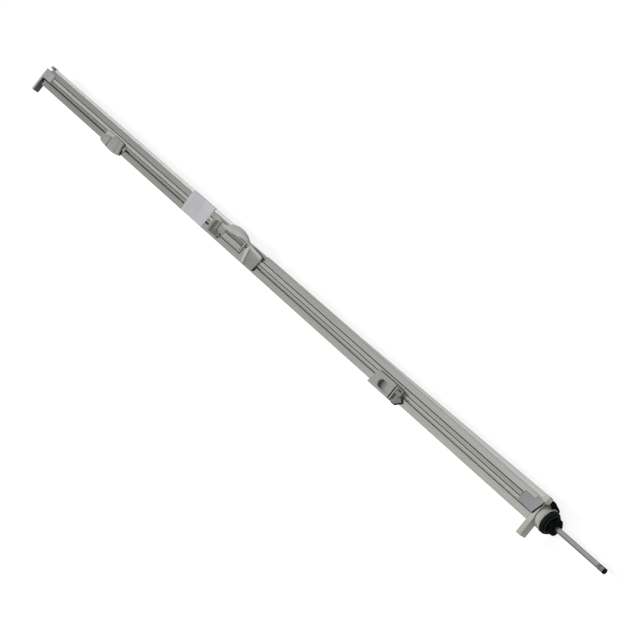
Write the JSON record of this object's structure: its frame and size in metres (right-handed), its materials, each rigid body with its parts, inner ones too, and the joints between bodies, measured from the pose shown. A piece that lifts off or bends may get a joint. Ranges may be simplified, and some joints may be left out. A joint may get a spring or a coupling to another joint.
{
  "type": "pneumatic cylinder",
  "caption": "Long slotted profile unit with a built-in pneumatic cylinder: rod with lock knob, lift lever, sliding clips and end brackets with legs.",
  "frame": {"origin": "middle of the profile's flat back face, midway along the profile", "axes": "+X along the profile towards the rod, +Z out of the slotted front face, legs point to -Y"},
  "size_m": [2.2743, 0.0963, 0.0645],
  "materials": {
    "black_plastic": "glossy black",
    "bracket": "satin grey",
    "bronze": "satin",
    "casting": "satin light grey",
    "chrome": "polished",
    "clip": "fine grained grey",
    "cover": "matt grey",
    "paper": "matt paper",
    "profile": "satin anodised",
    "rubber": "matt black",
    "steel": "satin",
    "strip": "matt grey",
    "trim": "matt white"
  },
  "bodies": {
    "housing": {"barrel_rear_cap": "profile", "barrel_saddle_front": "black_plastic", "barrel_saddle_rear": "black_plastic", "centre_strip": "strip", "charge_valve": "bronze", "corner_clip": "steel", "corner_plug": "black_plastic", "cylinder_barrel": "steel", "edge_fairing": "strip", "end_cover_plate": "cover", "far_bracket": "bracket", "far_corner_block": "bracket", "far_corner_plug": "rubber", "far_end_cap": "black_plastic", "flange_ring": "casting", "front_gland": "profile", "gland_base": "black_plastic", "gland_o_ring": "rubber", "handle_housing": "clip", "head_pad": "casting", "lever_pin": "steel", "near_head": "casting", "paper_label": "paper", "profile_housing": "profile", "rod_bush": "bronze", "rod_collet": "bronze", "rod_seal": "rubber", "top_trim_strip": "trim"},
    "rod": {"piston_rod": "chrome", "piston": "profile", "piston_seal": "rubber", "piston_nut": "steel", "tip_collar": "rubber", "tip_hex": "steel", "tip_cap": "rubber"},
    "knob": {"lock_knob": "black_plastic", "rod_wiper": "rubber"},
    "lever": {"lift_lever": "clip"},
    "clip_1": {"clip_1_base": "clip", "clip_1_body": "clip", "clip_1_foot": "steel", "clip_1_stop": "clip", "clip_1_bead": "chrome"},
    "clip_1_flap": {"clip_1_tab": "clip"},
    "block": {"finger_block": "clip", "finger_block_foot": "steel"},
    "clip_3": {"clip_3_body": "clip", "clip_3_rib": "clip", "clip_3_end_block": "clip", "clip_3_foot": "steel", "latch_pin": "steel"},
    "latch": {"clip_3_latch": "clip"}
  },
  "joints": [
    {"name": "rod_slide", "type": "slide", "parent": "housing", "child": "rod", "axis": [1, 0, 0], "range_m": [-0.1, 0.15]},
    {"name": "knob_turn", "type": "hinge", "parent": "housing", "child": "knob", "pos_m": [1.08, -0.003, 0.026], "axis": [1, 0, 0], "range_deg": [0, 120]},
    {"name": "lever_lift", "type": "hinge", "parent": "housing", "child": "lever", "pos_m": [-0.114, 0.0045, 0.0585], "axis": [0, -1, 0], "range_deg": [0, 60]},
    {"name": "clip_1_slide", "type": "slide", "parent": "housing", "child": "clip_1", "axis": [1, 0, 0], "range_m": [-0.31, 0.29]},
    {"name": "clip_1_flap_lift", "type": "hinge", "parent": "clip_1", "child": "clip_1_flap", "pos_m": [-0.6375, -0.018, 0.056], "axis": [0, 1, 0], "range_deg": [0, 35]},
    {"name": "block_slide", "type": "slide", "parent": "housing", "child": "block", "axis": [1, 0, 0], "range_m": [0, 0.4]},
    {"name": "clip_3_slide", "type": "slide", "parent": "housing", "child": "clip_3", "axis": [1, 0, 0], "range_m": [-0.45, 0.35]},
    {"name": "latch_lift", "type": "hinge", "parent": "clip_3", "child": "latch", "pos_m": [0.6175, -0.022, 0.0572], "axis": [0, -1, 0], "range_deg": [0, 40]}
  ]
}
